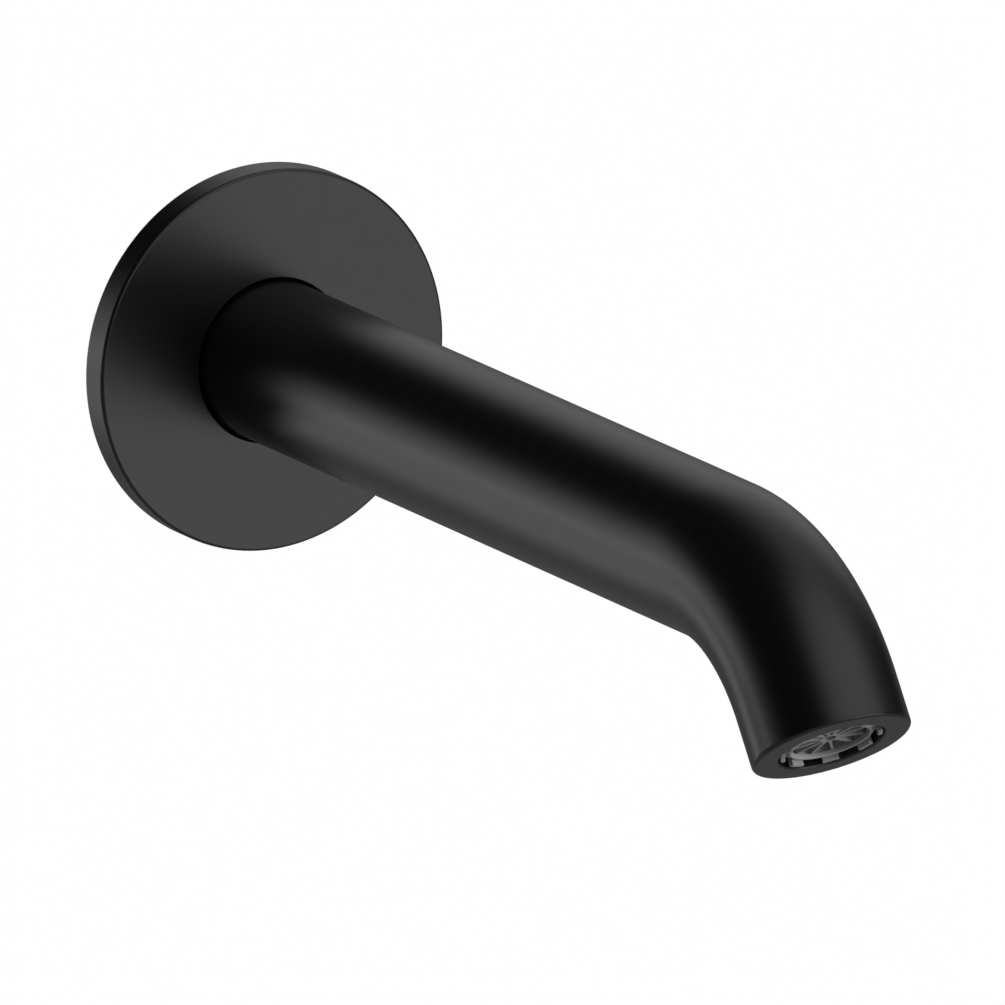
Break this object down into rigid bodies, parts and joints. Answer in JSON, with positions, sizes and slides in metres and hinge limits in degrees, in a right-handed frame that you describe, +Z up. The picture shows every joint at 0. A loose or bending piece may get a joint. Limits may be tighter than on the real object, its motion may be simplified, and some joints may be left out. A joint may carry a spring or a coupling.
{
  "type": "bath spout",
  "caption": "Wall-mounted bath spout: a round tube bent down at its end, a round wall flange, a recessed aerator and a half-inch connection nipple.",
  "frame": {"origin": "where the inlet axis meets the wall plane, at the root of the connection thread", "axes": "+Z up, +Y into the wall along the inlet axis, so the spout reaches out along -Y and pours down; +X to the right of someone facing the wall"},
  "size_m": [0.06, 0.1993, 0.06],
  "materials": {
    "black_coating": "satin",
    "brass": "satin",
    "stainless": "satin",
    "grey_plastic": "satin",
    "dark_plastic": "matte",
    "rubber": "matte",
    "foam": "matte"
  },
  "bodies": {
    "root": {"spout_body": "black_coating", "wall_flange": "black_coating", "flange_seal": "foam", "flange_o_ring": "rubber", "connection_nipple": "brass", "nipple_o_ring_front": "rubber", "nipple_o_ring_rear": "rubber", "grub_screw": "stainless", "aerator_housing": "grey_plastic", "outlet_star": "grey_plastic", "mixing_screen": "stainless", "disperser_plate": "dark_plastic", "dome_strainer": "dark_plastic", "aerator_seal": "rubber"}
  },
  "joints": []
}
